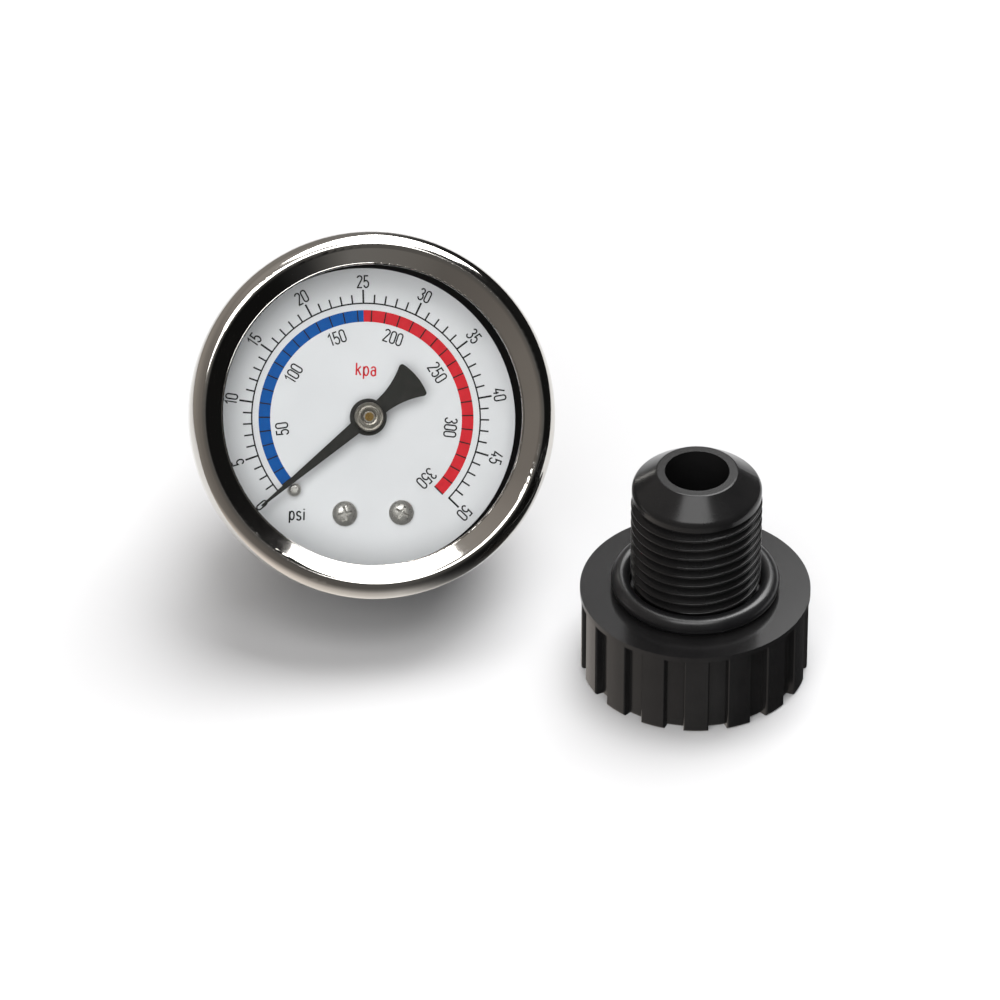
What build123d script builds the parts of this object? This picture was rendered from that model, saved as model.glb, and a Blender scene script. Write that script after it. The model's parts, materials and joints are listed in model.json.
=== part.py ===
from build123d import *
import os
from math import acos, asin, atan2, cos, degrees, hypot, pi, radians, sin, tan

# Panel-style pressure gauge leaning on its back connection, with a loose threaded adapter.
# Millimetres. The gauge is drawn in its own frame: +Z out of the dial, +Y to mid-scale,
# Z 0 on the outer face of the case back. The adapter stands on Z 0, axis up.

# ---- gauge case, window and bezel
CASE_R = 26.5
CASE_WALL = 0.8
CASE_CORNER_R = 3.0
FLANGE_W = 1.9
GASKET_T = 0.6
GLASS_T = 1.0
GLASS_INSET = 0.2
BEZEL_SHEET = 0.6
BEZEL_GAP = 0.6
LIP_OVERLAP = 4.0
BEZEL_RISE = 2.2
# ---- dial and pointer
DIAL_EDGE_GAP = 1.4
DIAL_T = 0.5
DIAL_GAP = 2.1
DIAL_SCREW_X = 4.6
DIAL_SCREW_MID = 0.7
DIAL_SCREW_Y = -15.4
POINTER_LIFT = 2.6
POINTER_T = 0.4
POINTER_TIP_GAP = 1.8
GLASS_CLEAR = 4.8
POINTER_TAIL_R = 10.3
POINTER_FLARE_DEG = 19.5
POINTER_HUB_R = 3.0
BUSH_R = 2.35
ZERO_DEG = -128.5
STOP_R = 16.6
STOP_PIN_R = 1.1
STOP_PIN_H = 1.7
# ---- brass connection
STEM_LEN = 23.1
STEM_THREAD_R = 6.5785
STEM_PITCH = 1.337
PILOT_R = 5.4
PILOT_LEN = 2.2
FLATS = 14.0
FLATS_LEN = 9.0
STEM_BORE_R = 1.5
# ---- Bourdon tube and movement
TUBE_GAP = 4.6
TUBE_LONG = 6.0
TUBE_SHORT = 2.2
TUBE_WALL = 0.35
TUBE_ROOT_DEG = 252.0
TUBE_SWEEP = 250.0
TUBE_DROP = 0.4
PLATE_T = 1.0
BACK_PLATE_Z = 8.0
PLATE_SPACE = 4.4
GEAR_MODULE = 0.2
PINION_TEETH = 14
SECTOR_TEETH_FULL = 91
SECTOR_DIR = -35.0
SECTOR_T = 1.0
SECTOR_DROP = 2.0
POINTER_TRAVEL = 263.5
TAIL_LEN = 4.2
LINK_LEN = 9.5
ARBOR_R = 0.7
PIVOT_R = 0.35
RUN = 0.04
# ---- adapter
KNOB_H = 15.3
KNOB_R = 18.25
KNOB_FLANGE_LIP = 0.25
KNOB_FLANGE_T = 0.9
RIB_COUNT = 16
RIB_DEG = 12.6
RIB_DEPTH = 1.2
RIB_ROUND = 0.45
MALE_R = 10.4775
MALE_PITCH = 1.814
NECK_LEN = 1.2
MALE_LEN = 17.6
LAND_LEN = 1.4
LAND_STEP = 0.1
CONE_LEN = 3.1
CONE_ROUND = 1.2
NOSE_R = 6.5
BORE_R = 5.15
FEMALE_R = 5.75
FEMALE_DEPTH = 13.0
POCKET_DEPTH = 10.5
O_RING_T = 3.0
O_RING_GAP = 0.0225
# ---- how the two parts stand
ROLL_DEG = -5.2
ADAPTER_X = 47.6
ADAPTER_Y = -47.2
RIB_FACING_DEG = -100.3

# ---- places and sizes that follow from the values above
FLANGE_R = CASE_R + FLANGE_W
GLASS_R = FLANGE_R - GLASS_INSET
BEZEL_R = FLANGE_R + BEZEL_GAP + BEZEL_SHEET
BEZEL_LIP_R = GLASS_R - LIP_OVERLAP
DIAL_R = CASE_R - CASE_WALL - DIAL_EDGE_GAP
POINTER_TIP_R = DIAL_R - POINTER_TIP_GAP
TUBE_R = CASE_R - CASE_WALL - TUBE_SHORT / 2 - TUBE_GAP
TUBE_Z = BACK_PLATE_Z - TUBE_DROP
FRONT_PLATE_Z = BACK_PLATE_Z + PLATE_T + PLATE_SPACE
SECTOR_Z = FRONT_PLATE_Z - SECTOR_DROP
DIAL_Z = FRONT_PLATE_Z + PLATE_T + DIAL_GAP + DIAL_T
POINTER_Z = DIAL_Z + POINTER_LIFT
FLANGE_Z = POINTER_Z + GLASS_CLEAR
KNOB_FLANGE_R = KNOB_R + KNOB_FLANGE_LIP
MALE_START = KNOB_H + NECK_LEN
MALE_END = MALE_START + MALE_LEN
CONE_Z = MALE_END + LAND_LEN
NOSE_Z = CONE_Z + CONE_LEN
O_RING_OD = 2 * (MALE_R + O_RING_GAP + O_RING_T)
PITCH_PINION_R = GEAR_MODULE * PINION_TEETH / 2
PITCH_SECTOR_R = GEAR_MODULE * SECTOR_TEETH_FULL / 2
CENTRES = PITCH_PINION_R + PITCH_SECTOR_R
SECTOR_X = CENTRES * cos(radians(SECTOR_DIR))
SECTOR_Y = CENTRES * sin(radians(SECTOR_DIR))
SECTOR_SWING = POINTER_TRAVEL * PINION_TEETH / SECTOR_TEETH_FULL
TAIL_X = SECTOR_X + TAIL_LEN * cos(radians(SECTOR_SWING / 2))
TAIL_Y = SECTOR_Y - TAIL_LEN * sin(radians(SECTOR_SWING / 2))
TIP_X = SECTOR_X + TAIL_LEN * (1 + cos(radians(SECTOR_SWING / 2))) / 2
TIP_Y = TAIL_Y + LINK_LEN
LINK_Z = SECTOR_Z + SECTOR_T + 0.1
LINK_T = 0.45
GASKET_Z = FLANGE_Z
GLASS_Z = GASKET_Z + GASKET_T
LIP_Z = GLASS_Z + GLASS_T
FLATS_Z = -0.6
THREAD_TOP_Z = FLATS_Z - FLATS_LEN
BLOCK_Z = CASE_WALL + 0.6
TOWER_W = 17.0
TOWER_LOW_Y = -(TUBE_R + TUBE_SHORT / 2 + 0.4)
VENT_R = 2.9
VENT_LIP = 1.2
VENT_Y = CASE_R - CASE_CORNER_R - VENT_R - VENT_LIP - 2.4
CASE_SCREW_X = 13.5
PILLAR_SPOTS = [(-7.5, 5.0), (5.5, 7.5), (-7.0, -11.0), (8.0, -11.5)]
PLATE_SCREW_SPOTS = [(-2.6, -11.2), (3.2, -11.2)]
HAIR_IN_R = 1.7
HAIR_OUT_R = 5.4
HAIR_TURNS = 3.25
HAIR_Z = BACK_PLATE_Z + PLATE_T + 0.7
HAIR_H = 0.6


def rod(x, y, r, z0, z1):
    """Plain cylinder about a vertical axis at x, y."""
    return Pos(x, y, (z0 + z1) / 2) * Cylinder(r, z1 - z0)


def slab(x0, x1, y0, y1, z0, z1):
    """Rectangular block given by its six limits."""
    centre = Pos((x0 + x1) / 2, (y0 + y1) / 2, (z0 + z1) / 2)
    return centre * Box(x1 - x0, y1 - y0, z1 - z0)


def turned(points, arc=360):
    """Solid of revolution about Z from (r, z) corners."""
    face = make_face(Polyline(*[(r, 0, z) for r, z in points], close=True))
    return revolve(face, Axis.Z, arc)


def turned_path(parts):
    """Solid of revolution from lines (2 points) and arcs (3 points) in (r, z)."""
    edges = []
    for pts in parts:
        pts3 = [(r, 0, z) for r, z in pts]
        edges.append(Line(*pts3) if len(pts) == 2 else ThreePointArc(*pts3))
    return revolve(make_face(Curve() + edges), Axis.Z, 360)


def tube(r_out, r_in, z0, z1):
    """Plain ring about the Z axis."""
    return rod(0, 0, r_out, z0, z1) - rod(0, 0, r_in, z0 - 1, z1 + 1)


def plate_from(points, z0, thickness, round_r):
    """Flat plate with rounded corners."""
    face = make_face(Polyline(*points, close=True))
    return extrude(Pos(0, 0, z0) * fillet(face.vertices(), round_r), thickness)


def thread_ridge(major_r, pitch, z0, z1):
    """Helical 55-degree thread ridge with a rounded crest, running past both ends."""
    depth = 0.6403 * pitch
    root_r = major_r - depth - 0.12
    half = 0.46 * pitch
    flank_r = major_r - 0.12 * pitch
    top = 0.13 * pitch
    helix = Helix(pitch, z1 - z0 + 2 * pitch, root_r)
    line_a = Line((root_r, 0, -half), (flank_r, 0, -top))
    crest = ThreePointArc((flank_r, 0, -top), (major_r, 0, 0), (flank_r, 0, top))
    line_b = Line((flank_r, 0, top), (root_r, 0, half))
    shut = Line((root_r, 0, half), (root_r, 0, -half))
    section = make_face(Curve() + [line_a, crest, line_b, shut])
    return Pos(0, 0, z0 - pitch) * sweep(section, path=helix, is_frenet=True)


def thread_on(core, major_r, pitch, z0, z1):
    """Core with a male thread between z0 and z1, chamfered at both ends."""
    low_r = major_r - 0.6403 * pitch - 0.3
    step = major_r - low_r
    corners = [(0, z0), (low_r, z0), (major_r + 0.01, z0 + step)]
    corners += [(major_r + 0.01, z1 - step), (low_r, z1), (0, z1)]
    ridge = thread_ridge(major_r, pitch, z0, z1) & turned(corners)
    return core + ridge


def cross_screw(head_r, head_h, shank_r, shank_l):
    """Pan-head screw with a cross recess; head sits on Z 0, shank below."""
    rise = head_h * 0.45
    dome = ThreePointArc((head_r, 0, rise), (head_r * 0.62, 0, head_h * 0.9), (0, 0, head_h))
    sides = [Line((0, 0, head_h), (0, 0, -shank_l)), Line((0, 0, -shank_l), (shank_r, 0, -shank_l))]
    sides += [Line((shank_r, 0, -shank_l), (shank_r, 0, 0)), Line((shank_r, 0, 0), (head_r, 0, 0))]
    sides += [Line((head_r, 0, 0), (head_r, 0, rise)), dome]
    body = revolve(make_face(Curve() + sides), Axis.Z, 360)
    arm = head_r * 1.15
    slot_w = head_r * 0.22
    floor_z = head_h * 0.3
    cross = slab(-arm / 2, arm / 2, -slot_w / 2, slot_w / 2, floor_z, head_h + 1)
    return body - cross - Rot(Z=90) * cross


# ------------------------------------------------------------------ case parts
def case_shell():
    """Deep-drawn cup with a rolled front flange, holes in the back."""
    r, w, c = CASE_R, CASE_WALL, CASE_CORNER_R
    ci = c - w
    k = 1 - cos(radians(45))
    parts = [[(0, 0), (r - c, 0)], [(r - c, 0), (r - c * k, c * k), (r, c)]]
    parts += [[(r, c), (r, FLANGE_Z - w)], [(r, FLANGE_Z - w), (FLANGE_R, FLANGE_Z - w)]]
    parts += [[(FLANGE_R, FLANGE_Z - w), (FLANGE_R, FLANGE_Z)], [(FLANGE_R, FLANGE_Z), (r - w, FLANGE_Z)]]
    parts += [[(r - w, FLANGE_Z), (r - w, c)]]
    parts += [[(r - w, c), (r - w - ci * k, w + ci * k), (r - c, w)], [(r - c, w), (0, w)], [(0, w), (0, 0)]]
    shell = turned_path(parts) - rod(0, 0, 7.0, -1, 2)
    for x in (-CASE_SCREW_X, CASE_SCREW_X):
        shell -= rod(x, 0, 1.35, -1, 2)
    return shell - rod(0, VENT_Y, VENT_R, -1, 2)


def bezel_ring():
    """Rolled sheet ring: sloping lip over the glass, round rim, curled under the case flange."""
    t, lr, br = BEZEL_SHEET, BEZEL_LIP_R, BEZEL_R
    top = LIP_Z + BEZEL_RISE
    low = FLANGE_Z - CASE_WALL
    cr = br - 2.3
    parts = [[(lr, LIP_Z), (lr, LIP_Z + 0.35)], [(lr, LIP_Z + 0.35), (lr + 0.07, LIP_Z + 0.55), (lr + 0.3, LIP_Z + t)]]
    parts += [[(lr + 0.3, LIP_Z + t), (cr - 0.6, top - 0.2)]]
    parts += [[(cr - 0.6, top - 0.2), (cr, top), (cr + 0.6, top - 0.12)]]
    parts += [[(cr + 0.6, top - 0.12), (br - 0.45, top - 1.15), (br, top - 2.5)]]
    parts += [[(br, top - 2.5), (br, low + 0.5)], [(br, low + 0.5), (br - 0.32, low - 0.28), (br - 1.1, low - t)]]
    parts += [[(br - 1.1, low - t), (CASE_R + 0.5, low - t)], [(CASE_R + 0.5, low - t), (CASE_R + 0.5, low)]]
    parts += [[(CASE_R + 0.5, low), (br - 1.1, low)], [(br - 1.1, low), (br - 0.74, low + 0.14), (br - t, low + 0.5)]]
    parts += [[(br - t, low + 0.5), (br - t, top - 2.6)]]
    parts += [[(br - t, top - 2.6), (br - 1.02, top - 1.5), (cr + 0.35, top - 0.68)]]
    parts += [[(cr + 0.35, top - 0.68), (cr, top - t), (cr - 0.35, top - 0.72)]]
    parts += [[(cr - 0.35, top - 0.72), (lr + 0.75, LIP_Z)], [(lr + 0.75, LIP_Z), (lr, LIP_Z)]]
    return turned_path(parts)


def window():
    """Flat glass with a small ground edge."""
    return chamfer(rod(0, 0, GLASS_R, GLASS_Z, LIP_Z).edges(), 0.15)


def window_gasket():
    """Black flat ring between case flange and glass."""
    return tube(GLASS_R, CASE_R - 1.6, GASKET_Z, GLASS_Z)


def vent_plug():
    """Rubber blow-out plug snapped into the case back."""
    neck = VENT_R
    parts = [(0, -1.0), (neck + 0.7, -1.0), (neck + VENT_LIP, -0.5), (neck + VENT_LIP, 0), (neck, 0)]
    parts += [(neck, CASE_WALL), (neck + 0.5, CASE_WALL), (neck - 0.3, CASE_WALL + 1.2), (0, CASE_WALL + 1.2)]
    return Pos(0, VENT_Y, 0) * turned(parts)


def case_screws():
    """Two pan screws through the case back into the connection block."""
    one = Rot(X=180) * cross_screw(2.3, 1.3, 1.1, 4.2)
    return Compound([Pos(x, 0, 0) * one for x in (-CASE_SCREW_X, CASE_SCREW_X)])


def socket_seal():
    """Flat seal between the connection block and the case floor."""
    return tube(9.6, 7.1, CASE_WALL, BLOCK_Z)


# ------------------------------------------------------------------ connection
def tube_section(grow):
    """Flattened Bourdon section on the XZ plane at the tube radius."""
    long_d = TUBE_LONG + 2 * grow
    short_d = TUBE_SHORT + 2 * grow
    return Pos(TUBE_R, 0, TUBE_Z) * (Plane.XZ * (Rot(Z=90) * SlotOverall(long_d, short_d)))


def tube_solid(grow, start, sweep_deg):
    """Part of the curved tube from an angle, running clockwise."""
    band = revolve(tube_section(grow), Axis.Z, sweep_deg)
    return Rot(Z=start - sweep_deg) * band


def bourdon_tube():
    """Hollow C-shaped tube."""
    skin = tube_solid(0, TUBE_ROOT_DEG, TUBE_SWEEP)
    return skin - tube_solid(-TUBE_WALL, TUBE_ROOT_DEG + 1, TUBE_SWEEP + 2)


def socket_threaded_end():
    """Pilot, thread, wrench flats and the spigot through the case."""
    tip = -STEM_LEN
    core_r = STEM_THREAD_R - 0.6403 * STEM_PITCH
    core = rod(0, 0, PILOT_R, tip, tip + PILOT_LEN + 0.5)
    core += rod(0, 0, core_r, tip + PILOT_LEN, THREAD_TOP_Z)
    stem = thread_on(core, STEM_THREAD_R, STEM_PITCH, tip + PILOT_LEN, THREAD_TOP_Z - 1.4)
    square = slab(-FLATS / 2, FLATS / 2, -FLATS / 2, FLATS / 2, THREAD_TOP_Z, FLATS_Z)
    square = square & rod(0, 0, FLATS * 0.62, THREAD_TOP_Z - 1, 1)
    return stem + square + rod(0, 0, 6.9, FLATS_Z - 0.1, BLOCK_Z + 0.1)


def socket():
    """Brass connection: stem outside, block and tower inside, drilled through to the tube."""
    half = TOWER_W / 2
    body = socket_threaded_end()
    ear = CASE_SCREW_X + 3.5
    body += slab(-ear, ear, -5, 5, BLOCK_Z, 4.5)
    body += slab(-half, half, TOWER_LOW_Y, 8, BLOCK_Z, BACK_PLATE_Z - 2)
    body += slab(-half, half, TOWER_LOW_Y, -9, BLOCK_Z, BACK_PLATE_Z)
    for x in (DIAL_SCREW_MID - DIAL_SCREW_X, DIAL_SCREW_MID + DIAL_SCREW_X):
        body += rod(x, DIAL_SCREW_Y, 1.9, BACK_PLATE_Z - 0.1, DIAL_Z - DIAL_T)
        body -= rod(x, DIAL_SCREW_Y, 0.95, DIAL_Z - DIAL_T - 5, DIAL_Z)
    for x, y in PLATE_SCREW_SPOTS:
        body -= rod(x, y, 0.9, BACK_PLATE_Z - 3.8, BACK_PLATE_Z + 1)
    for x in (-CASE_SCREW_X, CASE_SCREW_X):
        body -= rod(x, 0, 1.15, 0, 6)
    body -= tube_solid(0, TUBE_ROOT_DEG, TUBE_SWEEP)
    body -= rod(0, 0, STEM_BORE_R, -STEM_LEN - 1, 3.6)
    return body - pressure_drilling()


def pressure_drilling():
    """Slanted hole from the stem bore to the root of the tube."""
    start = Vector(0, 0, 2.6)
    root = radians(TUBE_ROOT_DEG - 1)
    end = Vector(TUBE_R * cos(root), TUBE_R * sin(root), TUBE_Z)
    lean = end - start
    return Plane(origin=start + lean * 0.5, z_dir=lean) * Cylinder(0.7, lean.length)


def restrictor():
    """Small screwed-in throttle in the mouth of the stem bore."""
    body = rod(0, 0, STEM_BORE_R - 0.02, -STEM_LEN + 1.0, -STEM_LEN + 5.0)
    body -= rod(0, 0, 0.3, -STEM_LEN, -STEM_LEN + 6)
    return body - slab(-2, 2, -0.25, 0.25, -STEM_LEN, -STEM_LEN + 1.7)


# ------------------------------------------------------------------ dial and pointer
def dial_plate():
    """Flat dial disc with centre, screw and stop-pin holes."""
    disc = rod(0, 0, DIAL_R, DIAL_Z - DIAL_T, DIAL_Z) - rod(0, 0, 1.6, 0, 60)
    for x in (DIAL_SCREW_MID - DIAL_SCREW_X, DIAL_SCREW_MID + DIAL_SCREW_X):
        disc -= rod(x, DIAL_SCREW_Y, 1.05, 0, 60)
    x, y = stop_spot()
    return disc - rod(x, y, 0.6, 0, 60)


def stop_spot():
    """Centre of the stop pin, at the pointer's resting edge."""
    half_width = pointer_half_width(STOP_R)
    back = degrees((half_width + STOP_PIN_R - 0.1) / STOP_R)
    a = radians(90 - ZERO_DEG + back)
    return STOP_R * cos(a), STOP_R * sin(a)


def dial_screws():
    """Two pan screws that hold the dial on its posts."""
    one = cross_screw(2.0, 1.15, 0.9, 4.0)
    spots = [(DIAL_SCREW_MID - DIAL_SCREW_X, 12), (DIAL_SCREW_MID + DIAL_SCREW_X, -31)]
    return Compound([Pos(x, DIAL_SCREW_Y, DIAL_Z) * Rot(Z=a) * one for x, a in spots])


def stop_pin():
    """Short riveted pin that marks the stop, its head below the pointer."""
    x, y = stop_spot()
    top = DIAL_Z + STOP_PIN_H
    head = fillet(rod(0, 0, STOP_PIN_R, DIAL_Z, top).edges().sort_by(Axis.Z)[-1], 0.6)
    foot = rod(0, 0, 0.58, DIAL_Z - DIAL_T - 0.1, DIAL_Z + 0.1) + rod(0, 0, 1.1, DIAL_Z - DIAL_T - 0.5, DIAL_Z - DIAL_T)
    return Pos(x, y, 0) * (head + foot)


def pointer_half_width(r):
    """Half width of the tapering blade at a radius."""
    return 1.2 + (0.15 - 1.2) * r / POINTER_TIP_R


def pointer():
    """Black pointer with a hub disc, long tapering blade and flared tail."""
    tip, tail, hub = POINTER_TIP_R, POINTER_TAIL_R, POINTER_HUB_R
    blade = make_face(Polyline((-1.2, 0), (-0.15, tip), (0.15, tip), (1.2, 0), close=True))
    flare = radians(POINTER_FLARE_DEG)
    ex, ey = tail * sin(flare), -tail * cos(flare)
    left = ThreePointArc((-1.25, -1.5), (-1.62, -5.4), (-ex, ey))
    right = ThreePointArc((ex, ey), (1.62, -5.4), (1.25, -1.5))
    end = ThreePointArc((-ex, ey), (0, -tail), (ex, ey))
    tail_face = make_face(Curve() + [left, end, right, Line((1.25, -1.5), (-1.25, -1.5))])
    corners = tail_face.vertices().sort_by(Axis.Y)[:2]
    face = blade + fillet(corners, 0.5) + Circle(hub)
    face -= Circle(ARBOR_R + 0.6)
    plate = extrude(Pos(0, 0, POINTER_Z) * face, POINTER_T)
    return Rot(Z=-ZERO_DEG) * plate


def pointer_hub():
    """Nickel bush that grips the arbor and carries the pointer."""
    r = BUSH_R
    top = POINTER_Z + 1.7
    base = POINTER_Z - 1.2
    pts = [(ARBOR_R, base), (1.3, base), (1.3, POINTER_Z + POINTER_T), (r, POINTER_Z + POINTER_T)]
    pts += [(r, top - 0.25), (r - 0.25, top), (ARBOR_R, top)]
    return turned(pts)


def pinion_arbor():
    """Pinion cut on its arbor, from the back pivot to the pointer taper."""
    body = rod(0, 0, ARBOR_R, BACK_PLATE_Z + PLATE_T + 0.06, POINTER_Z + 1.6)
    body += rod(0, 0, PIVOT_R, BACK_PLATE_Z - 0.1, BACK_PLATE_Z + PLATE_T + 0.1)
    low = SECTOR_Z - 0.4
    high = SECTOR_Z + SECTOR_T + 0.3
    teeth = gear_face(PINION_TEETH, range(PINION_TEETH), SECTOR_DIR)
    return body + extrude(Pos(0, 0, low) * teeth, high - low)


def hairspring_collet():
    """Split brass collet on the arbor that holds the inner end of the hairspring."""
    body = tube(HAIR_IN_R, ARBOR_R, HAIR_Z - 0.2, HAIR_Z + HAIR_H + 0.2)
    return body - slab(-HAIR_IN_R - 0.3, -0.5, -0.12, 0.12, HAIR_Z - 1, HAIR_Z + 2)


# ------------------------------------------------------------------ gears
def flank_angle(teeth, r):
    """Half angle of a tooth at radius r, in radians."""
    rp = GEAR_MODULE * teeth / 2
    rb = rp * cos(radians(20))
    inv_pitch = tan(radians(20)) - radians(20)
    a = acos(min(1.0, rb / max(r, rb)))
    thick = pi * GEAR_MODULE / 2 - 0.03
    return thick / 2 / rp + inv_pitch - (tan(a) - a)


def tooth_points(teeth, centre):
    """Outline of one tooth, root to root, counter-clockwise."""
    rp = GEAR_MODULE * teeth / 2
    rb = rp * cos(radians(20))
    root = rp - 1.15 * GEAR_MODULE
    tip = rp + 0.75 * GEAR_MODULE
    start = max(root, rb)
    radii = [root] + [start + (tip - start) * i / 4 for i in range(0 if start > root else 1, 5)]
    right = [(r, centre - flank_angle(teeth, r)) for r in radii]
    left = [(r, centre + flank_angle(teeth, r)) for r in reversed(radii)]
    return [(r * cos(a), r * sin(a)) for r, a in right + left]


def gear_face(teeth, indices, first_deg):
    """Toothed disc, or toothed arc closed at the centre, teeth counted from one direction."""
    pts = []
    for i in indices:
        pts += tooth_points(teeth, radians(first_deg) + 2 * pi * i / teeth)
    if len(indices) < teeth:
        pts.append((0, 0))
    return make_face(Polyline(*pts, close=True))


def sector_gear():
    """Toothed sector with its tail arm; the arc starts one swing below the line of centres."""
    pitch_deg = 360 / SECTOR_TEETH_FULL
    first = SECTOR_DIR + 180 + pitch_deg / 2
    below = int(SECTOR_SWING / pitch_deg) + 3
    face = gear_face(SECTOR_TEETH_FULL, range(-below, 3), first)
    window_cut = Rot(Z=SECTOR_DIR + 180 - SECTOR_SWING / 2) * Pos(6.0, 0) * SlotOverall(3.2, 1.8, rotation=90)
    tail_dir = Rot(Z=-SECTOR_SWING / 2)
    arm = tail_dir * (Pos(TAIL_LEN / 2, 0) * Rectangle(TAIL_LEN, 1.7) + Pos(TAIL_LEN, 0) * Circle(1.1))
    face = face + Circle(1.9) + arm - Circle(0.6) - window_cut - tail_dir * Pos(TAIL_LEN, 0) * Circle(0.4)
    return Pos(SECTOR_X, SECTOR_Y, SECTOR_Z) * extrude(face, SECTOR_T)


def sector_arbor():
    """Sector arbor with a pivot in each plate."""
    low = BACK_PLATE_Z + PLATE_T + 0.06
    high = FRONT_PLATE_Z - 0.06
    body = rod(SECTOR_X, SECTOR_Y, 0.6, low, high)
    return body + rod(SECTOR_X, SECTOR_Y, PIVOT_R, BACK_PLATE_Z - 0.1, FRONT_PLATE_Z + PLATE_T)


# ------------------------------------------------------------------ movement
def plate_outline():
    """Outline shared by both movement plates."""
    right = SECTOR_X + 2.6
    return [(-9.6, 7.0), (5.0, 9.8), (8.2, 8.2), (right, -3.0), (right - 0.6, -13.2), (-9.2, -13.2)]


def movement_back_plate():
    """Back plate, screwed down on the tower."""
    body = plate_from(plate_outline(), BACK_PLATE_Z, PLATE_T, 1.4)
    for x, y in PLATE_SCREW_SPOTS:
        body -= rod(x, y, 1.0, 0, 60)
    for x, y in PILLAR_SPOTS:
        body -= rod(x, y, 0.8, 0, 60)
    body -= rod(HAIR_OUT_R + 0.1, 0, 0.5, 0, 60)
    return body - rod(0, 0, PIVOT_R + RUN, 0, 60) - rod(SECTOR_X, SECTOR_Y, PIVOT_R + RUN, 0, 60)


def movement_front_plate():
    """Front plate on the four pillars."""
    body = plate_from(plate_outline(), FRONT_PLATE_Z, PLATE_T, 1.4)
    for x, y in PILLAR_SPOTS:
        body -= rod(x, y, 0.7, 0, 60)
    return body - rod(0, 0, ARBOR_R + RUN, 0, 60) - rod(SECTOR_X, SECTOR_Y, PIVOT_R + RUN, 0, 60)


def movement_pillars():
    """Four spacers riveted to the back plate and tapped at the front."""
    one = rod(0, 0, 1.3, BACK_PLATE_Z + PLATE_T, FRONT_PLATE_Z) + rod(0, 0, 0.8, BACK_PLATE_Z + 0.05, BACK_PLATE_Z + PLATE_T + 0.2)
    one -= rod(0, 0, 0.62, FRONT_PLATE_Z - 2.6, FRONT_PLATE_Z + 1)
    return Compound([Pos(x, y, 0) * one for x, y in PILLAR_SPOTS])


def movement_screws():
    """Six small pan screws: four in the pillars, two into the tower."""
    one = cross_screw(1.25, 0.8, 0.6, 2.4)
    top = FRONT_PLATE_Z + PLATE_T
    screws = [Pos(x, y, top) * one for x, y in PILLAR_SPOTS]
    heavy = cross_screw(1.6, 0.9, 0.85, 3.4)
    screws += [Pos(x, y, BACK_PLATE_Z + PLATE_T) * heavy for x, y in PLATE_SCREW_SPOTS]
    return Compound(screws)


def hairspring():
    """Flat spiral strip between the collet and the stud."""
    steps = int(HAIR_TURNS * 16)
    w = 0.12
    inner, outer = [], []
    for i in range(steps + 1):
        a = 2 * pi * HAIR_TURNS * (i / steps - 1)
        r = HAIR_IN_R + w / 2 + (HAIR_OUT_R - HAIR_IN_R - w / 2) * i / steps
        inner.append(((r - w / 2) * cos(a), (r - w / 2) * sin(a)))
        outer.append(((r + w / 2) * cos(a), (r + w / 2) * sin(a)))
    edges = [Spline(*inner), Spline(*outer), Line(inner[0], outer[0]), Line(inner[-1], outer[-1])]
    return extrude(Pos(0, 0, HAIR_Z) * make_face(Curve() + edges), HAIR_H)


def hairspring_stud():
    """Slotted post that pins the outer end of the hairspring."""
    body = rod(HAIR_OUT_R + 0.1, 0, 0.5, BACK_PLATE_Z + 0.05, HAIR_Z + HAIR_H + 0.3)
    return body - slab(HAIR_OUT_R - 0.09, HAIR_OUT_R + 0.09, -1, 1, HAIR_Z, 20)


def link():
    """Flat link between the tube tip and the sector tail."""
    face = Pos(TAIL_X, TAIL_Y + LINK_LEN / 2) * Rectangle(1.1, LINK_LEN)
    face = face + Pos(TAIL_X, TAIL_Y) * Circle(1.1) + Pos(TAIL_X, TIP_Y) * Circle(1.3)
    face = face - Pos(TAIL_X, TAIL_Y) * Circle(0.4 + RUN) - Pos(TAIL_X, TIP_Y) * Circle(0.65)
    return extrude(Pos(0, 0, LINK_Z) * face, LINK_T)


def link_pin():
    """Headed pin fixed in the sector tail, running in the link."""
    high = LINK_Z + LINK_T + 0.08
    body = rod(0, 0, 0.4, SECTOR_Z - 0.2, high) + rod(0, 0, 0.75, high, high + 0.25)
    return Pos(TAIL_X, TAIL_Y, 0) * body


def tube_tip():
    """Cap closing the tube end with an arm that carries the tip pin."""
    end_deg = TUBE_ROOT_DEG - TUBE_SWEEP
    cap = tube_solid(0.5, end_deg + 0.5, 9.0)
    cap -= tube_solid(0.01, end_deg + 6, 6.02)
    arm = slab(TIP_X, TUBE_R, TIP_Y - 1.4, TIP_Y + 1.4, SECTOR_Z, SECTOR_Z + SECTOR_T)
    arm += rod(TIP_X, TIP_Y, 1.4, SECTOR_Z, SECTOR_Z + SECTOR_T)
    post = slab(TUBE_R - 1.6, TUBE_R + 1.6, -2.3, TIP_Y + 1.4, TUBE_Z + TUBE_LONG / 2 + 0.3, SECTOR_Z + SECTOR_T)
    arm = arm + post
    return cap + arm - rod(TIP_X, TIP_Y, 0.4, 0, 60)


def tip_pin():
    """Headed pin at the tube tip; the link's hole is larger, which leaves this pivot open."""
    high = LINK_Z + LINK_T + 0.08
    body = rod(0, 0, 0.4, SECTOR_Z - 0.2, high) + rod(0, 0, 0.95, high, high + 0.25)
    return Pos(TIP_X, TIP_Y, 0) * body


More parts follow.
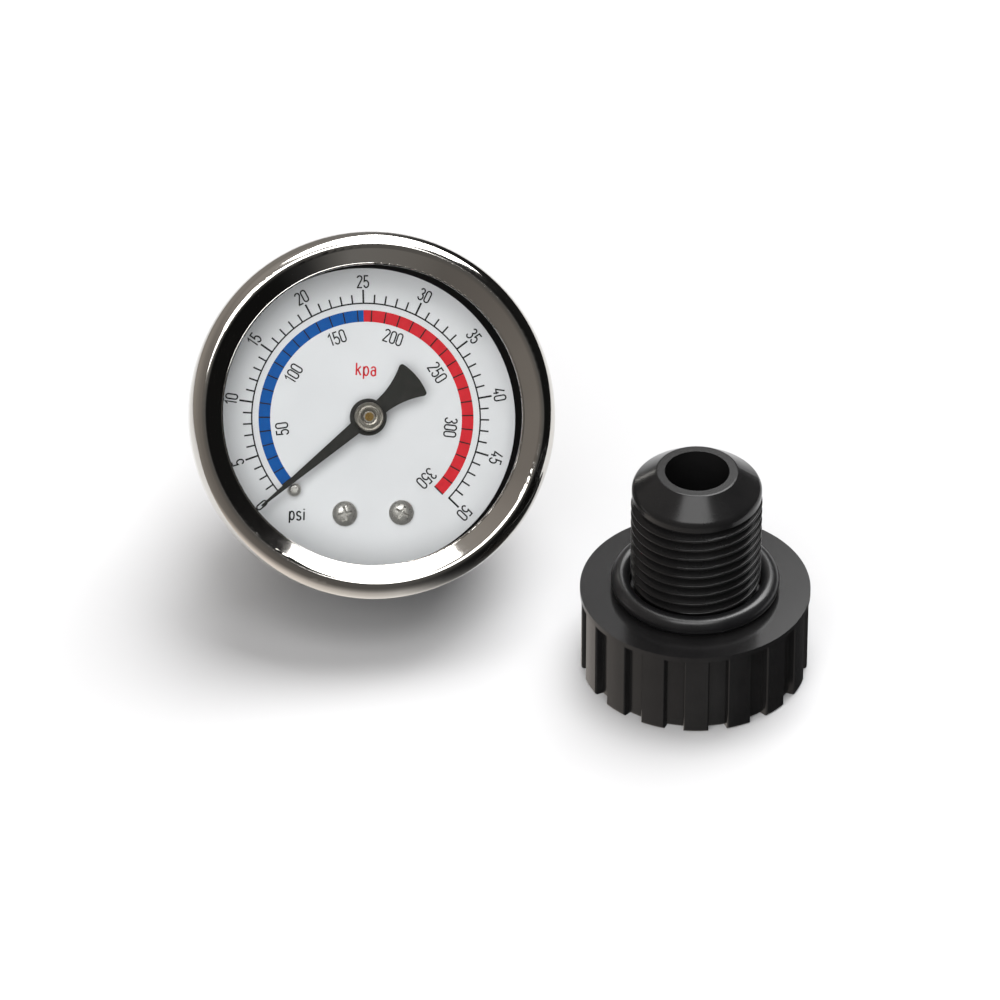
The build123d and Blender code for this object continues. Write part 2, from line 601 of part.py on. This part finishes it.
# ------------------------------------------------------------------ adapter
def knob():
    """Ribbed grip ring with a thin overhanging top flange."""
    core_r = KNOB_R - RIB_DEPTH
    body = rounded_foot(core_r, KNOB_H) + rod(0, 0, KNOB_FLANGE_R, KNOB_H - KNOB_FLANGE_T, KNOB_H)
    wide = 2 * KNOB_R * sin(radians(RIB_DEG / 2))
    blank = make_face(Polyline((core_r - 1, -wide / 2), (KNOB_R, -wide / 2), (KNOB_R, wide / 2), (core_r - 1, wide / 2), close=True))
    blank = fillet(blank.vertices().sort_by(Axis.X)[-2:], RIB_ROUND)
    rib = extrude(blank, KNOB_H - KNOB_FLANGE_T / 2) & rounded_foot(KNOB_R, KNOB_H)
    for i in range(RIB_COUNT):
        body += Rot(Z=RIB_FACING_DEG + 360 * i / RIB_COUNT) * rib
    return body


def rounded_foot(r, h):
    """Cylinder standing on Z 0 with its lower rim rounded."""
    return fillet(rod(0, 0, r, 0, h).edges().sort_by(Axis.Z)[0], RIB_ROUND)


def adapter_core():
    """Solid outline of neck, threaded barrel, land, cone and nose."""
    core_r = MALE_R - 0.6403 * MALE_PITCH
    land_r = MALE_R - LAND_STEP
    pts = [(0, KNOB_H - 1), (core_r, KNOB_H - 1), (core_r, MALE_END - 0.8), (land_r, MALE_END)]
    pts += [(land_r, CONE_Z), (NOSE_R, NOSE_Z), (0, NOSE_Z)]
    solid = turned(pts)
    rims = solid.edges().filter_by(GeomType.CIRCLE).sort_by(Axis.Z)
    solid = fillet(rims[-1], 0.35)
    rims = solid.edges().filter_by(GeomType.CIRCLE).filter_by(lambda e: abs(e.center().Z - CONE_Z) < 0.01)
    return fillet(rims, CONE_ROUND)


def adapter_body():
    """Moulded adapter: knob, male thread outside, female thread bore inside."""
    ridge_end = MALE_END + 0.6
    body = knob() + thread_on(adapter_core(), MALE_R, MALE_PITCH, MALE_START, ridge_end)
    pocket = tube(KNOB_R - RIB_DEPTH - 1.9, FEMALE_R + 3.0, -1, POCKET_DEPTH)
    web = slab(FEMALE_R + 2.5, KNOB_R - RIB_DEPTH - 1.5, -0.7, 0.7, 0.8, POCKET_DEPTH + 1)
    for i in range(8):
        pocket -= Rot(Z=RIB_FACING_DEG + 45 * i) * web
    body -= pocket
    body -= rod(0, 0, BORE_R, -1, NOSE_Z + 1) + rod(0, 0, FEMALE_R, -1, FEMALE_DEPTH)
    mouth = turned([(0, -0.01), (FEMALE_R + 0.9, -0.01), (FEMALE_R, 0.9), (0, 0.9)])
    return body - mouth


def adapter_o_ring():
    """Rubber ring lying on the knob flange around the neck of the thread."""
    r = O_RING_T / 2
    return Pos(0, 0, KNOB_H + r) * Torus(O_RING_OD / 2 - r, r)


# ------------------------------------------------------------------ placing and writing
def gauge_rest():
    """Lean of the gauge so the case corner and the stem tip both touch the floor."""
    a = CASE_CORNER_R + STEM_LEN
    b = CASE_R - CASE_CORNER_R - PILOT_R
    lean = atan2(b, a) + asin(CASE_CORNER_R / hypot(a, b))
    height = PILOT_R * cos(lean) + STEM_LEN * sin(lean)
    return Pos(0, 0, height) * Rot(X=90 - degrees(lean)) * Rot(Z=ROLL_DEG)


GAUGE_NODES = {
    "case_shell": case_shell,
    "bezel_ring": bezel_ring,
    "window": window,
    "window_gasket": window_gasket,
    "vent_plug": vent_plug,
    "case_screws": case_screws,
    "socket": socket,
    "socket_seal": socket_seal,
    "restrictor": restrictor,
    "dial_plate": dial_plate,
    "dial_screws": dial_screws,
    "stop_pin": stop_pin,
    "bourdon_tube": bourdon_tube,
    "movement_back_plate": movement_back_plate,
    "movement_front_plate": movement_front_plate,
    "movement_pillars": movement_pillars,
    "movement_screws": movement_screws,
    "hairspring": hairspring,
    "hairspring_stud": hairspring_stud,
    "pointer": pointer,
    "pointer_hub": pointer_hub,
    "pinion_arbor": pinion_arbor,
    "hairspring_collet": hairspring_collet,
    "sector_gear": sector_gear,
    "sector_arbor": sector_arbor,
    "link": link,
    "link_pin": link_pin,
    "tube_tip": tube_tip,
    "tip_pin": tip_pin,
}
ADAPTER_NODES = {"adapter_body": adapter_body, "adapter_o_ring": adapter_o_ring}


def build():
    """All nodes at rest, box centred on the origin with its bottom on Z 0."""
    rest = gauge_rest()
    beside = Pos(ADAPTER_X, ADAPTER_Y, 0)
    nodes = {name: rest * make() for name, make in GAUGE_NODES.items()}
    nodes.update({name: beside * make() for name, make in ADAPTER_NODES.items()})
    box = Compound([s for n in nodes.values() for s in n.solids()]).bounding_box()
    shift = Pos(-box.center().X, -box.center().Y, -box.min.Z)
    print("shift", shift.position)
    print("box", box.size)
    return {name: shift * shape for name, shape in nodes.items()}


def write_parts(nodes):
    """One STEP file per node."""
    os.makedirs("parts", exist_ok=True)
    for name, shape in nodes.items():
        export_step(shape, f"parts/{name}.step")


write_parts(build())
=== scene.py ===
import bpy, json, math
from mathutils import Vector, Matrix


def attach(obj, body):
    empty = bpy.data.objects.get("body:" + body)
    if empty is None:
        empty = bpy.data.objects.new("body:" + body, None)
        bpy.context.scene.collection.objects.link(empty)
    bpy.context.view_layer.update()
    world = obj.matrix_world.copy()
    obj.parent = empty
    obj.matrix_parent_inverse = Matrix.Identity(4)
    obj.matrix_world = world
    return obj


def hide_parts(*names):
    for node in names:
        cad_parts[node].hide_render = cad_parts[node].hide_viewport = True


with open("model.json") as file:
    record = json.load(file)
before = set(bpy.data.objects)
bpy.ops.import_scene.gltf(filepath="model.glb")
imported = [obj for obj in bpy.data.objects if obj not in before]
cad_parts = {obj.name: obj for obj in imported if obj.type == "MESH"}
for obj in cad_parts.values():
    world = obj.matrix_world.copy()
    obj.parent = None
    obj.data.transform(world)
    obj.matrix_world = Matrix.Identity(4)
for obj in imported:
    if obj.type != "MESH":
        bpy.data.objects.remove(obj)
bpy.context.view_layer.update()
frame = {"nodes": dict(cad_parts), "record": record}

MM = 0.001
JOINTS = {j["name"]: j for j in frame["record"]["behaviour"]["joints"]}

# ------------------------------------------------------------ gauge frame
# Local axes of the gauge: X right on the dial, Y to mid-scale, Z out of the dial.
# Heights along Z are in mm, as in the CAD source.
DIAL_ROLL = math.radians(-5.2)
POINTER_Z = 19.6
DIAL_Z = 17.0
n_out = -Vector(JOINTS["pointer_turn"]["axis"]).normalized()
flat_x = Vector((1.0, 0.0, 0.0))
flat_y = n_out.cross(flat_x)
dial_x = flat_x * math.cos(DIAL_ROLL) + flat_y * math.sin(DIAL_ROLL)
dial_y = n_out.cross(dial_x)
origin = Vector(JOINTS["pointer_turn"]["pos_m"]) - n_out * (POINTER_Z * MM)
GAUGE = Matrix((
    (dial_x.x, dial_y.x, n_out.x, origin.x),
    (dial_x.y, dial_y.y, n_out.y, origin.y),
    (dial_x.z, dial_y.z, n_out.z, origin.z),
    (0, 0, 0, 1),
))


# ------------------------------------------------------------ camera
def make_camera():
    elevation = math.radians(37.77)
    azimuth = math.radians(10.24)
    distance = 1.4288
    target = Vector((0.00607, 0.02228, 0.0))
    forward = Vector((
        math.sin(azimuth) * math.cos(elevation),
        math.cos(azimuth) * math.cos(elevation),
        -math.sin(elevation),
    ))
    data = bpy.data.cameras.new("view_camera")
    data.sensor_width = 36.0
    data.lens = 311.2
    data.clip_start = 0.05
    data.clip_end = 20.0
    cam = bpy.data.objects.new("view_camera", data)
    bpy.context.scene.collection.objects.link(cam)
    cam.location = target - forward * distance
    cam.rotation_euler = forward.to_track_quat("-Z", "Y").to_euler()
    bpy.context.scene.camera = cam


make_camera()
bpy.context.scene.view_settings.view_transform = "Standard"


# ------------------------------------------------------------ material helpers
def new_material(name):
    mat = bpy.data.materials.new(name)
    mat.use_nodes = True
    tree = mat.node_tree
    tree.nodes.clear()
    out = tree.nodes.new("ShaderNodeOutputMaterial")
    shader = tree.nodes.new("ShaderNodeBsdfPrincipled")
    tree.links.new(shader.outputs["BSDF"], out.inputs["Surface"])
    return mat, tree, shader


def object_coords(tree):
    coords = tree.nodes.new("ShaderNodeTexCoord")
    return coords.outputs["Object"]


def noise(tree, vector, scale, detail=3.0, rough=0.55):
    node = tree.nodes.new("ShaderNodeTexNoise")
    node.inputs["Scale"].default_value = scale
    node.inputs["Detail"].default_value = detail
    node.inputs["Roughness"].default_value = rough
    tree.links.new(vector, node.inputs["Vector"])
    return node.outputs["Fac"]


def ramp(tree, value, stops):
    node = tree.nodes.new("ShaderNodeValToRGB")
    elements = node.color_ramp.elements
    elements[0].position, elements[0].color = stops[0][0], (*stops[0][1], 1)
    elements[1].position, elements[1].color = stops[-1][0], (*stops[-1][1], 1)
    for pos, col in stops[1:-1]:
        extra = elements.new(pos)
        extra.color = (*col, 1)
    tree.links.new(value, node.inputs["Fac"])
    return node.outputs["Color"]


def to_range(tree, value, low, high):
    node = tree.nodes.new("ShaderNodeMapRange")
    node.inputs["From Min"].default_value = 0.25
    node.inputs["From Max"].default_value = 0.75
    node.inputs["To Min"].default_value = low
    node.inputs["To Max"].default_value = high
    tree.links.new(value, node.inputs["Value"])
    return node.outputs["Result"]


def add_bump(tree, shader, height, strength, distance):
    node = tree.nodes.new("ShaderNodeBump")
    node.inputs["Strength"].default_value = strength
    node.inputs["Distance"].default_value = distance
    tree.links.new(height, node.inputs["Height"])
    tree.links.new(node.outputs["Normal"], shader.inputs["Normal"])


def surface(name, dark, light, scale, rough, metallic=0.0, bump=(0.1, 0.00002), fine=None, spec=0.5):
    """General material: two close tones by noise, a roughness range and a fine bump."""
    mat, tree, shader = new_material(name)
    vector = object_coords(tree)
    base = noise(tree, vector, scale)
    tree.links.new(ramp(tree, base, [(0.3, dark), (0.7, light)]), shader.inputs["Base Color"])
    grain = noise(tree, vector, fine or scale * 6, 4.0, 0.6)
    tree.links.new(to_range(tree, grain, rough[0], rough[1]), shader.inputs["Roughness"])
    shader.inputs["Metallic"].default_value = metallic
    shader.inputs["Specular IOR Level"].default_value = spec
    add_bump(tree, shader, grain, bump[0], bump[1])
    return mat


def printed(name, dark, light):
    """Screen-printed ink on the dial."""
    return surface(name, dark, light, 900.0, (0.45, 0.6), bump=(0.15, 0.00001), fine=6000.0, spec=0.2)


M_PLASTIC = surface("adapter_plastic", (0.0065, 0.0064, 0.0066), (0.0095, 0.0092, 0.0093), 160.0,
                    (0.18, 0.24), bump=(0.05, 0.00001), fine=2600.0, spec=0.28)
M_O_RING = surface("o_ring_rubber", (0.006, 0.006, 0.0065), (0.009, 0.009, 0.0095), 300.0, (0.26, 0.34),
                   bump=(0.12, 0.00002), fine=3000.0)
M_GASKET = surface("gasket_rubber", (0.02, 0.02, 0.02), (0.035, 0.034, 0.033), 500.0, (0.6, 0.75),
                   fine=4000.0)
M_BEZEL = surface("bezel_steel", (0.62, 0.60, 0.565), (0.68, 0.66, 0.625), 60.0, (0.05, 0.11), metallic=1.0,
                  bump=(0.02, 0.00001), fine=900.0)
M_CASE = surface("case_paint", (0.018, 0.018, 0.019), (0.028, 0.028, 0.030), 250.0, (0.34, 0.5),
                 bump=(0.35, 0.00004), fine=2200.0)
M_SCREW = surface("steel_screw", (0.56, 0.54, 0.51), (0.70, 0.68, 0.64), 700.0, (0.24, 0.36), metallic=0.75,
                  bump=(0.1, 0.00001), fine=3500.0)
M_BRASS = surface("brass", (0.50, 0.33, 0.12), (0.62, 0.43, 0.18), 260.0, (0.28, 0.42), metallic=0.8,
                  bump=(0.12, 0.00002), fine=2600.0)
# Darker copy of the brass for the arbor's end at the hub's centre: painted shade for the hub's dark centre,
# in place of a modelled recess.
M_ARBOR_PAINTED_SHADE = surface("arbor_brass_painted_shade", (0.20, 0.12, 0.035), (0.30, 0.19, 0.06), 900.0, (0.24, 0.36), metallic=0.9,
                  bump=(0.1, 0.00001), fine=4000.0)
M_BRONZE = surface("tube_bronze", (0.60, 0.36, 0.18), (0.72, 0.46, 0.25), 260.0, (0.22, 0.36), metallic=1.0,
                   bump=(0.1, 0.00002), fine=2600.0)
M_NICKEL = surface("nickel", (0.27, 0.25, 0.22), (0.38, 0.355, 0.31), 900.0, (0.26, 0.38), metallic=0.85,
                   bump=(0.08, 0.00001), fine=4000.0)
M_DIAL = surface("dial_enamel", (0.72, 0.725, 0.745), (0.76, 0.765, 0.785), 120.0, (0.42, 0.55),
                 bump=(0.12, 0.00001), fine=5000.0)
M_POINTER = surface("pointer_black", (0.014, 0.014, 0.012), (0.022, 0.021, 0.019), 700.0, (0.42, 0.58),
                    bump=(0.2, 0.00001), fine=5000.0, spec=0.25)
M_INK = printed("ink_black", (0.012, 0.012, 0.013), (0.02, 0.02, 0.021))
M_BLUE = printed("ink_blue", (0.0, 0.078, 0.33), (0.0, 0.09, 0.36))
M_RED = printed("ink_red", (0.60, 0.016, 0.026), (0.66, 0.02, 0.032))


def glass_material():
    """Thin clear window: a Fresnel share of gloss over clear."""
    mat = bpy.data.materials.new("window_glass")
    mat.use_nodes = True
    tree = mat.node_tree
    tree.nodes.clear()
    out = tree.nodes.new("ShaderNodeOutputMaterial")
    mix = tree.nodes.new("ShaderNodeMixShader")
    fres = tree.nodes.new("ShaderNodeFresnel")
    fres.inputs["IOR"].default_value = 1.4
    clear = tree.nodes.new("ShaderNodeBsdfTransparent")
    clear.inputs["Color"].default_value = (0.985, 0.99, 0.987, 1)
    gloss = tree.nodes.new("ShaderNodeBsdfGlossy")
    vector = object_coords(tree)
    smudge = noise(tree, vector, 90.0, 4.0, 0.6)
    tree.links.new(to_range(tree, smudge, 0.0, 0.035), gloss.inputs["Roughness"])
    tree.links.new(fres.outputs["Fac"], mix.inputs["Fac"])
    tree.links.new(clear.outputs["BSDF"], mix.inputs[1])
    tree.links.new(gloss.outputs["BSDF"], mix.inputs[2])
    tree.links.new(mix.outputs["Shader"], out.inputs["Surface"])
    return mat


M_GLASS = glass_material()

NODE_LOOKS = {
    "case_shell": M_CASE, "bezel_ring": M_BEZEL, "window": M_GLASS, "window_gasket": M_GASKET,
    "vent_plug": M_GASKET, "case_screws": M_SCREW, "socket": M_BRASS, "socket_seal": M_GASKET,
    "restrictor": M_BRASS, "dial_plate": M_DIAL, "dial_screws": M_SCREW, "stop_pin": M_SCREW,
    "bourdon_tube": M_BRONZE, "movement_back_plate": M_BRASS, "movement_front_plate": M_BRASS,
    "movement_pillars": M_BRASS, "movement_screws": M_SCREW, "hairspring": M_BRONZE,
    "hairspring_stud": M_BRASS, "pointer": M_POINTER, "pointer_hub": M_NICKEL, "pinion_arbor": M_ARBOR_PAINTED_SHADE,
    "hairspring_collet": M_BRASS, "sector_gear": M_BRASS, "sector_arbor": M_SCREW, "link": M_NICKEL,
    "link_pin": M_SCREW, "tube_tip": M_BRASS, "tip_pin": M_SCREW, "adapter_body": M_PLASTIC,
    "adapter_o_ring": M_O_RING,
}


def dress_nodes():
    for name, mat in NODE_LOOKS.items():
        mesh = frame["nodes"][name].data
        mesh.materials.clear()
        mesh.materials.append(mat)


dress_nodes()


# ------------------------------------------------------------ mesh helpers
def mesh_object(name, verts, faces, mat, matrix=GAUGE):
    mesh = bpy.data.meshes.new(name)
    mesh.from_pydata([tuple(v) for v in verts], [], faces)
    mesh.update()
    mesh.materials.append(mat)
    obj = bpy.data.objects.new(name, mesh)
    obj.matrix_world = matrix
    bpy.context.scene.collection.objects.link(obj)
    return obj


def clock(r, deg):
    """Dial point at a radius in mm and an angle clockwise from mid-scale."""
    a = math.radians(deg)
    return r * math.sin(a), r * math.cos(a)


PRINT_SINK = 0.01


class Print:
    """Collects thin printed shapes that stand just proud of the dial."""

    def __init__(self, lift):
        self.z0 = (DIAL_Z - PRINT_SINK) * MM
        self.z1 = (DIAL_Z + lift) * MM
        self.verts, self.faces = [], []

    def outline(self, points):
        """Closed prism from a counter-clockwise outline in mm."""
        n, base = len(points), len(self.verts)
        self.verts += [(x * MM, y * MM, self.z0) for x, y in points]
        self.verts += [(x * MM, y * MM, self.z1) for x, y in points]
        self.faces.append([base + n + i for i in range(n)])
        for i in range(n):
            j = (i + 1) % n
            self.faces.append([base + i, base + j, base + n + j, base + n + i])

    def tick(self, deg, r0, r1, width):
        a = math.radians(deg)
        sx, sy = math.cos(a) * width / 2, -math.sin(a) * width / 2
        (x0, y0), (x1, y1) = clock(r0, deg), clock(r1, deg)
        self.outline([(x0 - sx, y0 - sy), (x0 + sx, y0 + sy), (x1 + sx, y1 + sy), (x1 - sx, y1 - sy)])

    def band(self, r0, r1, start, end, step=1.5):
        count = max(2, int(abs(end - start) / step))
        for i in range(count):
            a = start + (end - start) * i / count
            b = start + (end - start) * (i + 1) / count
            self.outline([clock(r0, b), clock(r0, a), clock(r1, a), clock(r1, b)][::-1])

    def make(self, name, mat):
        obj = mesh_object(name, self.verts, self.faces, mat)
        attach(obj, "gauge")


def arc_path(cx, cy, rx, ry, start, end, count=10):
    """Points on an elliptical arc, angles in degrees."""
    angles = [math.radians(start + (end - start) * i / count) for i in range(count + 1)]
    return [(cx + rx * math.cos(a), cy + ry * math.sin(a)) for a in angles]


def glyph(char):
    """Stroke paths of a narrow technical letter in a box one unit tall, with its width."""
    r, w = 0.2, 0.46
    if char == "0":
        top = arc_path(0.23, 0.8, r, r, 180, 0)
        return [top + arc_path(0.23, 0.2, r, r, 0, -180) + [top[0]]], w
    if char == "1":
        return [[(0.06, 0.78), (0.25, 1.0), (0.25, 0.0)]], 0.36
    if char == "2":
        return [arc_path(0.23, 0.8, r, r, 170, -30) + [(0.04, 0.03), (0.04, 0.0), (0.43, 0.0)]], w
    if char == "3":
        upper = arc_path(0.22, 0.78, 0.18, 0.22, 165, -90)
        lower = arc_path(0.22, 0.27, 0.21, 0.27, 90, -165)
        return [upper, lower], w
    if char == "4":
        return [[(0.27, 1.0), (0.03, 0.26), (0.45, 0.26)], [(0.34, 0.46), (0.34, 0.0)]], 0.48
    if char == "5":
        bowl = arc_path(0.22, 0.3, 0.21, 0.3, 125, -160)
        return [[(0.41, 1.0), (0.09, 1.0), (0.07, 0.53)] + bowl[1:]], w
    if char == "p":
        ring = arc_path(0.24, 0.36, 0.17, 0.36, 180, -180, 18)
        return [[(0.06, 0.72), (0.06, -0.28)], ring], 0.47
    if char == "s":
        head = arc_path(0.2, 0.53, 0.15, 0.19, 20, 270)
        tail = arc_path(0.2, 0.17, 0.16, 0.18, 90, -160)
        return [head + tail], 0.42
    if char == "i":
        return [[(0.09, 0.72), (0.09, 0.0)], [(0.09, 0.97), (0.09, 0.87)]], 0.2
    if char == "k":
        return [[(0.06, 1.0), (0.06, 0.0)], [(0.37, 0.72), (0.08, 0.33)], [(0.17, 0.45), (0.39, 0.0)]], 0.44
    bowl = arc_path(0.21, 0.22, 0.16, 0.22, 40, 320, 16)
    hook = arc_path(0.21, 0.52, 0.15, 0.2, 165, 0)
    return [hook + [(0.36, 0.0)], bowl], 0.46


def ribbon(path, width, place, verts, faces, z):
    """Flat stroke of even width along a path, with mitred corners."""
    closed = path[0] == path[-1]
    pts = [Vector(p) for p in (path[:-1] if closed else path)]
    n, base = len(pts), len(verts)
    for i, p in enumerate(pts):
        before = pts[i - 1] if (closed or i > 0) else None
        after = pts[(i + 1) % n] if (closed or i < n - 1) else None
        a = (p - before).normalized() if before is not None else (after - p).normalized()
        b = (after - p).normalized() if after is not None else a
        side = Vector((-(a.y + b.y), a.x + b.x))
        side = side.normalized() if side.length > 1e-6 else Vector((-a.y, a.x))
        reach = width / 2 / max(0.5, side.dot(Vector((-a.y, a.x))))
        for s in (1, -1):
            q = place @ Vector((p.x + side.x * reach * s, p.y + side.y * reach * s, 0))
            verts.append((q.x * MM, q.y * MM, z * MM))
    for i in range(n if closed else n - 1):
        j = (i + 1) % n
        faces.append([base + 2 * i + 1, base + 2 * j + 1, base + 2 * j, base + 2 * i])


LETTER_GAP = 0.1
LETTER_LIFT = 0.035


def text_piece(name, words, mat):
    """Dial lettering from strokes: (text, x, y, turn_deg, height_mm, stroke_mm, spread)."""
    verts, faces = [], []
    for body, x, y, turn, height, stroke, spread in words:
        shapes = [glyph(c) for c in body]
        total = sum(width for _, width in shapes) + LETTER_GAP * (len(shapes) - 1)
        place = Matrix.Translation((x, y, 0)) @ Matrix.Rotation(math.radians(-turn), 4, "Z")
        place = place @ Matrix.Diagonal((height * spread, height, 1, 1))
        place = place @ Matrix.Translation((-total / 2, -0.5, 0))
        pen = 0.0
        for paths, width in shapes:
            for path in paths:
                shifted = [(px + pen, py) for px, py in path]
                ribbon(shifted, stroke / height, place, verts, faces, DIAL_Z + LETTER_LIFT)
            pen += width + LETTER_GAP
    obj = mesh_object(name, verts, faces, mat)
    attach(obj, "gauge")


# ------------------------------------------------------------ dial print
# Radii, lengths and widths in mm, angles in degrees clockwise from mid-scale.
PSI_DEG = 5.4
BAND_IN, BAND_OUT = 15.6, 17.5
SCALE_R = 18.6
SCALE_START, SCALE_END = -128.5, 135.4
SCALE_LINE_HALF = 0.12
MAJOR_LEN, MINOR_LEN = 2.2, 1.45
MAJOR_WIDTH, MINOR_WIDTH, RULE_WIDTH = 0.3, 0.26, 0.2
BAND_LIFT, LINE_LIFT, RULE_LIFT = 0.012, 0.022, 0.032
PSI_FIGURE_R, KPA_FIGURE_R = 22.1, 13.8
PSI_FIGURE_H, KPA_FIGURE_H = 1.9, 1.95
FIGURE_STROKE, UNIT_STROKE, UNIT_SPREAD = 0.235, 0.24, 1.1


def psi_angle(psi):
    return (psi - 25) * PSI_DEG


def kpa_angle(kpa):
    return -135 + kpa * 271 / 350


def dial_print():
    lines = Print(LINE_LIFT)
    for psi in range(2, 51):
        major = psi % 5 == 0
        length = MAJOR_LEN if major else MINOR_LEN
        width = MAJOR_WIDTH if major else MINOR_WIDTH
        lines.tick(psi_angle(psi), SCALE_R, SCALE_R + length, width)
    lines.band(SCALE_R - SCALE_LINE_HALF, SCALE_R + SCALE_LINE_HALF, SCALE_START, SCALE_END)
    lines.make("dial_scale_lines", M_INK)
    blue = Print(BAND_LIFT)
    blue.band(BAND_IN, BAND_OUT, kpa_angle(8), 0)
    blue.make("dial_band_blue", M_BLUE)
    red = Print(BAND_LIFT)
    red.band(BAND_IN, BAND_OUT, 0, kpa_angle(350))
    red.make("dial_band_red", M_RED)
    rules = Print(RULE_LIFT)
    for kpa in range(10, 351, 10):
        rules.tick(kpa_angle(kpa), BAND_IN, BAND_OUT, RULE_WIDTH)
    rules.make("dial_band_lines", M_INK)


def dial_figures():
    words = []
    for psi in range(0, 55, 5):
        a = psi_angle(psi) if psi else SCALE_START
        x, y = clock(PSI_FIGURE_R, a)
        words.append((str(psi), x, y, a, PSI_FIGURE_H, FIGURE_STROKE, 1.0))
    for kpa in range(50, 351, 50):
        a = kpa_angle(kpa)
        x, y = clock(KPA_FIGURE_R, a)
        words.append((str(kpa), x, y, a, KPA_FIGURE_H, FIGURE_STROKE, 1.0))
    words.append(("psi", -11.6, -15.3, 3.0, 1.9, UNIT_STROKE, UNIT_SPREAD))
    text_piece("dial_figures", words, M_INK)
    text_piece("dial_unit_mark", [("kpa", 0.2, 7.9, 3.5, 2.0, UNIT_STROKE, UNIT_SPREAD)], M_RED)


def lathe_piece(name, profile, mat, body, replaced, steps=96):
    """Turned piece in the gauge frame from (r, z) corners in mm, listed from the axis outwards and down."""
    verts, faces = [], []
    for i in range(steps):
        a = 2 * math.pi * i / steps
        verts += [(r * math.cos(a) * MM, r * math.sin(a) * MM, z * MM) for r, z in profile]
    count = len(profile)
    for i in range(steps):
        j = (i + 1) % steps
        for k in range(count):
            m = (k + 1) % count
            faces.append([i * count + k, i * count + m, j * count + m, j * count + k])
    obj = mesh_object(name, verts, faces, mat)
    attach(obj, body)
    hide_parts(replaced)


def turned_bush():
    """Pointer bush as it leaves the lathe: two fine grooves and a dished centre round the arbor's end."""
    bore, neck, rim = 0.7, 1.3, 2.35
    top, under, base = POINTER_Z + 1.7, POINTER_Z + 0.4, POINTER_Z - 1.2
    profile = [(bore, top - 0.3), (0.95, top - 0.3), (1.1, top - 0.1)]
    for groove in (1.35, 1.75):
        profile += [(groove, top - 0.04), (groove + 0.06, top - 0.14)]
        profile += [(groove + 0.14, top - 0.14), (groove + 0.2, top - 0.02)]
    profile += [(rim - 0.16, top), (rim - 0.04, top - 0.06), (rim, top - 0.2), (rim, under)]
    profile += [(neck, under), (neck, base), (bore, base)]
    lathe_piece("turned_bush", profile[::-1], M_NICKEL, "pointer_group", "pointer_hub")


dial_print()
dial_figures()
turned_bush()


# ------------------------------------------------------------ studio
def make_floor():
    """White paper in four sheets. Only the ones behind the gauge and right of the adapter are mirrored."""
    mat = surface("floor_paper", (0.47, 0.47, 0.475), (0.49, 0.49, 0.495), 8.0, (0.7, 0.8),
                  bump=(0.02, 0.0001), fine=300.0, spec=0.2)
    far, back_edge, front_edge, right_edge = 3.0, -0.01, -0.06, 0.068
    sheets = (("studio_floor_back", (-far, back_edge), (far, far), True),
              ("studio_floor_right", (right_edge, front_edge), (far, back_edge), True),
              ("studio_floor_left", (-far, front_edge), (right_edge, back_edge), False),
              ("studio_floor_front", (-far, -far), (far, front_edge), False))
    for name, (x0, y0), (x1, y1), mirrored in sheets:
        verts = [(x0, y0, 0), (x1, y0, 0), (x1, y1, 0), (x0, y1, 0)]
        obj = mesh_object(name, verts, [[0, 1, 2, 3]], mat, Matrix.Identity(4))
        obj.visible_glossy = mirrored


def area_light(name, location, size, power):
    """Rectangular light that points at the frame's origin."""
    data = bpy.data.lights.new(name, "AREA")
    data.shape = "RECTANGLE"
    data.size, data.size_y = size
    data.energy = power
    obj = bpy.data.objects.new(name, data)
    bpy.context.scene.collection.objects.link(obj)
    obj.location = location
    obj.rotation_euler = (-Vector(location)).to_track_quat("-Z", "Y").to_euler()
    return obj


def to_unit(tree, value):
    """Maps -1..1 to 0..1."""
    node = tree.nodes.new("ShaderNodeMapRange")
    node.inputs["From Min"].default_value = -1.0
    tree.links.new(value, node.inputs["Value"])
    return node.outputs["Result"]


def multiply(tree, a, b):
    mix = tree.nodes.new("ShaderNodeMix")
    mix.data_type = "RGBA"
    mix.blend_type = "MULTIPLY"
    mix.inputs[0].default_value = 1.0
    tree.links.new(a, mix.inputs[6])
    tree.links.new(b, mix.inputs[7])
    return mix.outputs[2]


def grey(level):
    return (level, level, level)


def make_world():
    """Studio by direction: warm grey on the left, black on the right, brightest low down and at the back."""
    world = bpy.data.worlds.new("studio")
    bpy.context.scene.world = world
    world.use_nodes = True
    tree = world.node_tree
    tree.nodes.clear()
    out = tree.nodes.new("ShaderNodeOutputWorld")
    back = tree.nodes.new("ShaderNodeBackground")
    coords = tree.nodes.new("ShaderNodeTexCoord")
    split = tree.nodes.new("ShaderNodeSeparateXYZ")
    tree.links.new(coords.outputs["Generated"], split.inputs["Vector"])
    side = ramp(tree, to_unit(tree, split.outputs["X"]),
                [(0.0, (0.30, 0.275, 0.25)), (0.2, (0.22, 0.20, 0.185)), (0.4, (0.17, 0.16, 0.15)),
                 (0.58, (0.15, 0.145, 0.14)), (0.70, (0.03, 0.03, 0.03)), (0.78, grey(0.01)),
                 (1.0, grey(0.01))])
    height = ramp(tree, to_unit(tree, split.outputs["Z"]),
                  [(0.0, grey(6.0)), (0.12, grey(5.0)), (0.25, grey(2.5)), (0.38, grey(1.0)),
                   (0.85, grey(1.0)), (1.0, grey(2.0))])
    depth = ramp(tree, to_unit(tree, split.outputs["Y"]),
                 [(0.0, grey(0.7)), (0.3, grey(0.8)), (0.55, grey(1.0)), (0.8, grey(1.4)), (1.0, grey(1.6))])
    tree.links.new(multiply(tree, multiply(tree, side, height), depth), back.inputs["Color"])
    tree.links.new(back.outputs["Background"], out.inputs["Surface"])


make_floor()
make_world()
area_light("overhead", (0.28, 0.32, 1.0), (0.8, 1.0), 22.0)
area_light("front_top", (-0.14, -0.58, 1.18), (0.9, 0.5), 7.0)
front_fill = area_light("front_fill", (-0.45, -1.05, 0.68), (1.4, 0.9), 15.0)
front_fill.visible_glossy = False
